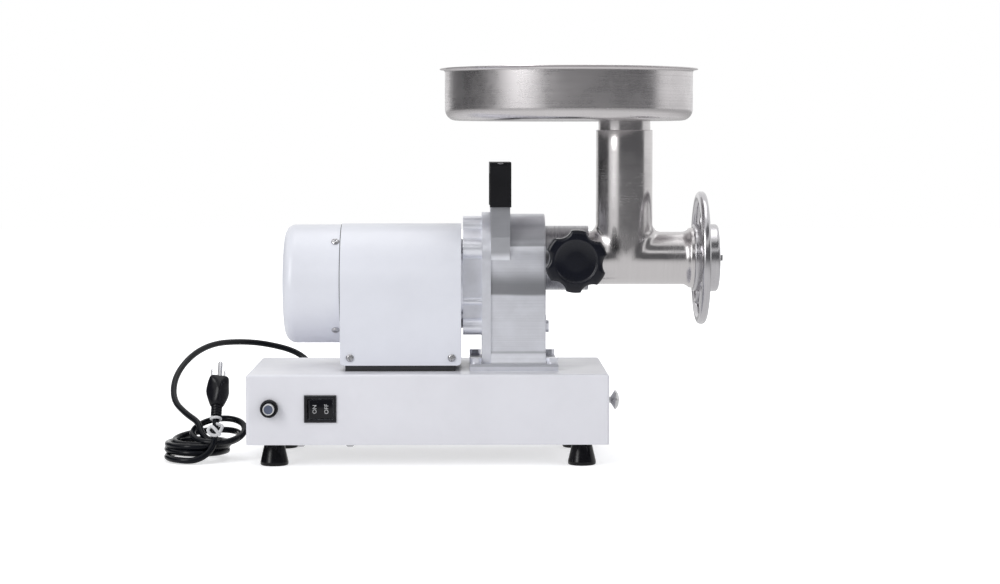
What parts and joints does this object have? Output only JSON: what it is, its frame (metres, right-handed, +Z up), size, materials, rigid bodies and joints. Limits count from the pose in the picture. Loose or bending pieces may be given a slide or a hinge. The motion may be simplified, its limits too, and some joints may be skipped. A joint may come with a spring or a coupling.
{
  "type": "electric meat grinder",
  "caption": "Electric meat grinder: boxed base with drawer and switch, covered motor, gear case with carrying handle, lock knob, steel head with auger, hand-wheel nut and round feed tray.",
  "frame": {"origin": "middle of the machine's footprint on the floor, without the cord", "axes": "+X along the drive axis towards the meat outlet, +Y towards the back panel where the cord leaves, +Z up"},
  "size_m": [0.5471, 0.291, 0.3798],
  "materials": {
    "painted_base": "satin white powder coat",
    "painted_cover": "satin white powder coat",
    "black_paint": "satin black",
    "zinc_steel": "zinc plated, dull",
    "stainless": "brushed stainless steel",
    "polished_steel": "polished",
    "cast_aluminium": "cast, bead blasted",
    "tool_steel": "ground steel",
    "laminations": "stacked electrical steel",
    "copper": "enamelled copper",
    "bronze": "sintered bronze",
    "carbon": "graphite",
    "black_plastic": "fine grained",
    "gloss_black": "glossy",
    "grey_plastic": "glossy",
    "insulator": "phenolic",
    "feet_rubber": "matte",
    "cord_rubber": "smooth cord sheath",
    "white_plastic": "plastic covered wire"
  },
  "bodies": {
    "machine": {"base_housing": "painted_base", "base_bottom_plate": "painted_base", "rubber_feet": "feet_rubber", "base_screws": "zinc_steel", "drawer_rails": "zinc_steel", "switch_housing": "gloss_black", "circuit_breaker": "black_plastic", "fan_cap": "painted_cover", "housing_screws": "zinc_steel", "motor_cover": "painted_cover", "motor_saddle": "black_paint", "rear_bracket": "cast_aluminium", "brush_holders": "insulator", "carbon_brushes": "carbon", "stator_core": "laminations", "field_coils": "copper", "ball_bearings": "tool_steel", "end_bell": "cast_aluminium", "case_back_plate": "cast_aluminium", "gear_case": "cast_aluminium", "bearing_carrier": "tool_steel", "gearbox_bushes": "bronze", "hub_sleeve": "cast_aluminium", "drive_bolts": "zinc_steel", "handle_grip": "black_plastic", "cord_gland": "black_plastic", "power_cord": "cord_rubber", "cord_hank": "cord_rubber", "plug_lead": "cord_rubber", "cord_tie": "white_plastic", "plug_body": "black_plastic", "plug_contacts": "zinc_steel"},
    "rotor": {"motor_shaft": "tool_steel", "armature": "laminations", "armature_windings": "copper", "commutator": "copper", "cooling_fan": "black_plastic", "motor_pinion": "tool_steel"},
    "first_stage": {"first_gear": "tool_steel", "first_countershaft": "tool_steel"},
    "second_stage": {"second_gear": "tool_steel", "second_countershaft": "tool_steel"},
    "output_stage": {"output_gear": "tool_steel", "output_shaft": "tool_steel"},
    "head": {"grinder_head": "stainless", "grinding_plate": "tool_steel"},
    "feed_screw": {"auger": "polished_steel", "cutting_knife": "tool_steel"},
    "nut_slider": {"nut_washer": "zinc_steel"},
    "hand_wheel": {"nut_hub": "stainless", "nut_wheel": "stainless"},
    "tray_base": {"tray_stem": "stainless"},
    "tray": {"tray_pan": "stainless"},
    "drawer": {"drawer_pan": "painted_base", "drawer_knob": "polished_steel"},
    "rocker": {"switch_rocker": "gloss_black"},
    "button": {"reset_button": "grey_plastic"},
    "lock_slider": {"lock_pad": "bronze"},
    "lock_screw": {"lock_stud": "zinc_steel", "lock_knob": "black_plastic"}
  },
  "joints": [
    {"name": "motor_spin", "type": "hinge", "parent": "machine", "child": "rotor", "pos_m": [-0.0064, 0, 0.17], "axis": [1, 0, 0], "continuous": true},
    {"name": "first_countershaft_spin", "type": "hinge", "parent": "machine", "child": "first_stage", "pos_m": [0.0136, 0.01918, 0.18078], "axis": [1, 0, 0], "continuous": true},
    {"name": "second_countershaft_spin", "type": "hinge", "parent": "machine", "child": "second_stage", "pos_m": [0.0236, 0, 0.1515], "axis": [1, 0, 0], "continuous": true},
    {"name": "output_spin", "type": "hinge", "parent": "machine", "child": "output_stage", "pos_m": [0.0536, 0, 0.195], "axis": [1, 0, 0], "continuous": true},
    {"name": "head_slide", "type": "slide", "parent": "machine", "child": "head", "axis": [1, 0, 0], "range_m": [0, 0.07]},
    {"name": "auger_spin", "type": "hinge", "parent": "head", "child": "feed_screw", "pos_m": [0.1436, 0, 0.195], "axis": [1, 0, 0], "continuous": true},
    {"name": "nut_travel", "type": "slide", "parent": "head", "child": "nut_slider", "axis": [1, 0, 0], "range_m": [0, 0.009]},
    {"name": "nut_turn", "type": "hinge", "parent": "nut_slider", "child": "hand_wheel", "pos_m": [0.2088, 0, 0.195], "axis": [1, 0, 0], "range_deg": [0, 1080]},
    {"name": "tray_lift", "type": "slide", "parent": "head", "child": "tray_base", "axis": [0, 0, 1], "range_m": [0, 0.05]},
    {"name": "tray_swivel", "type": "hinge", "parent": "tray_base", "child": "tray", "pos_m": [0.1333, 0, 0.3294], "axis": [0, 0, 1], "continuous": true},
    {"name": "drawer_slide", "type": "slide", "parent": "machine", "child": "drawer", "axis": [1, 0, 0], "range_m": [0, 0.15]},
    {"name": "rocker_tilt", "type": "hinge", "parent": "machine", "child": "rocker", "pos_m": [-0.1598, -0.0885, 0.0565], "axis": [0, 0, -1], "range_deg": [0, 16]},
    {"name": "reset_press", "type": "slide", "parent": "machine", "child": "button", "axis": [0, 1, 0], "range_m": [0, 0.003], "stiffness_N_per_m": 600, "springref_m": -0.002},
    {"name": "lock_travel", "type": "slide", "parent": "machine", "child": "lock_slider", "axis": [0, -1, 0], "range_m": [0, 0.00375]},
    {"name": "lock_turn", "type": "hinge", "parent": "lock_slider", "child": "lock_screw", "pos_m": [0.083, -0.06, 0.195], "axis": [0, -1, 0], "range_deg": [0, 1080]}
  ],
  "couplings": [
    {"joint": "first_countershaft_spin", "follows": "motor_spin", "ratio": -0.29412},
    {"joint": "second_countershaft_spin", "follows": "motor_spin", "ratio": 0.063939},
    {"joint": "output_spin", "follows": "motor_spin", "ratio": -0.013321},
    {"joint": "auger_spin", "follows": "motor_spin", "ratio": -0.013321},
    {"joint": "nut_travel", "follows": "nut_turn", "m_per_rad": 0.00047746},
    {"joint": "lock_travel", "follows": "lock_turn", "m_per_rad": 0.00019894}
  ]
}
